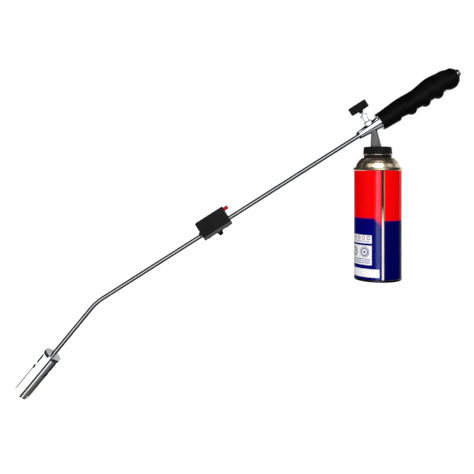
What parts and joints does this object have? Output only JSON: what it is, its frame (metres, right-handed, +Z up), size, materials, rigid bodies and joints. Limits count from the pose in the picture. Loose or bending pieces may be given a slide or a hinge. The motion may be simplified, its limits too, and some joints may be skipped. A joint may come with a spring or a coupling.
{
  "type": "gas torch",
  "caption": "Long bent-lance gas torch with slotted burner, push-button igniter, needle valve knob, finger grip and an upright bayonet gas cartridge.",
  "frame": {"origin": "centre of the hand grip, on the axis of lance, valve body and grip", "axes": "+X along the tool towards the grip end, +Z up with the cartridge hanging upright below the valve, +Y across the tool; the lance axis rises 32.4 degrees from +X"},
  "size_m": [0.63, 0.068, 0.4673],
  "materials": {
    "chrome_lance": "polished chrome plate on steel tube",
    "copper_pipe": "drawn copper, satin",
    "lead_insulation": "silicone rubber",
    "chrome_burner": "polished steel tube",
    "brass": "turned brass",
    "ceramic": "glazed ceramic",
    "steel_plain": "plain steel",
    "black_moulding": "fine moulded texture",
    "grey_moulding": "satin moulding",
    "button_red": "gloss moulding",
    "piezo_case_white": "satin moulding",
    "zinc_screws": "zinc plated",
    "spring_steel": "drawn wire",
    "black_rubber": "matt rubber",
    "chrome_valve": "polished chrome plate on brass",
    "graphite": "pressed graphite",
    "grip_black": "soft satin moulding",
    "nut_dark": "black oxide steel",
    "arm_grey": "satin die casting",
    "can_paint": "gloss litho print in red over blue",
    "tinplate": "bright tinplate",
    "gold_lacquer": "gold lacquer on tinplate"
  },
  "bodies": {
    "torch": {"lance_tube": "chrome_lance", "gas_pipe": "copper_pipe", "ignition_lead": "lead_insulation", "burner_collar": "chrome_burner", "burner_tube": "chrome_burner", "jet_holder": "brass", "gas_jet": "brass", "electrode_insulator": "ceramic", "electrode_rod": "steel_plain", "flame_holder": "steel_plain", "igniter_housing": "black_moulding", "igniter_cover": "black_moulding", "cover_screws": "zinc_screws", "clamp_saddle": "grey_moulding", "saddle_screws": "zinc_screws", "lead_bush": "black_rubber", "piezo_case": "piezo_case_white", "piezo_crystal": "ceramic", "contact_pin": "brass", "piezo_hammer": "steel_plain", "hammer_spring": "spring_steel", "button_spring": "spring_steel", "front_ring": "chrome_valve", "valve_body": "chrome_valve", "bonnet": "chrome_valve", "packing_ring": "graphite", "gland_nut": "chrome_valve", "grip_flange": "chrome_valve", "grip_core": "steel_plain", "end_plug": "steel_plain", "grip": "grip_black", "end_washer": "chrome_valve", "end_nut": "nut_dark", "inlet_arm": "arm_grey", "lock_cap": "black_moulding", "claw_ring": "steel_plain", "claw_screws": "zinc_screws", "inlet_pin": "brass", "inlet_filter": "steel_plain", "inlet_seal": "black_rubber"},
    "spindle": {"valve_spindle": "steel_plain"},
    "knob": {"control_knob": "black_moulding", "knob_screw": "zinc_screws"},
    "button": {"igniter_button": "button_red"},
    "clamp_pin": {"clamp_screw": "zinc_screws"},
    "clamp_handle": {"clamp_knob": "nut_dark"},
    "cartridge": {"can_body": "can_paint", "can_base": "tinplate", "can_dome": "gold_lacquer", "valve_cup": "gold_lacquer", "collar_ring": "black_moulding", "stem_gasket": "black_rubber", "valve_housing": "piezo_case_white", "valve_stem": "piezo_case_white", "valve_spring": "spring_steel", "vapour_tube": "piezo_case_white"}
  },
  "joints": [
    {"name": "spindle_lift", "type": "slide", "parent": "torch", "child": "spindle", "axis": [-0.5358, 0, 0.8443], "range_m": [0, 0.00113]},
    {"name": "knob_turn", "type": "hinge", "parent": "spindle", "child": "knob", "pos_m": [-0.06417, 0, -0.04072], "axis": [-0.5358, 0, 0.8443], "range_deg": [0, 540]},
    {"name": "button_press", "type": "slide", "parent": "torch", "child": "button", "axis": [-0.8443, 0, -0.5358], "range_m": [0, 0.005], "stiffness_N_per_m": 900, "deforming": ["button_spring", "hammer_spring"]},
    {"name": "clamp_travel", "type": "slide", "parent": "torch", "child": "clamp_pin", "axis": [0.5358, 0, -0.8443], "range_m": [0, 0.0029]},
    {"name": "clamp_turn", "type": "hinge", "parent": "clamp_pin", "child": "clamp_handle", "pos_m": [-0.27803, 0, -0.1871], "axis": [0.5358, 0, -0.8443], "range_deg": [0, 1440]},
    {"name": "cartridge_twist", "type": "hinge", "parent": "torch", "child": "cartridge", "pos_m": [-0.055, 0, -0.08], "axis": [0, 0, 1], "range_deg": [0, 60]}
  ],
  "couplings": [
    {"joint": "spindle_lift", "follows": "knob_turn", "m_per_rad": 0.00011937},
    {"joint": "clamp_travel", "follows": "clamp_turn", "m_per_rad": 0.00011141}
  ]
}
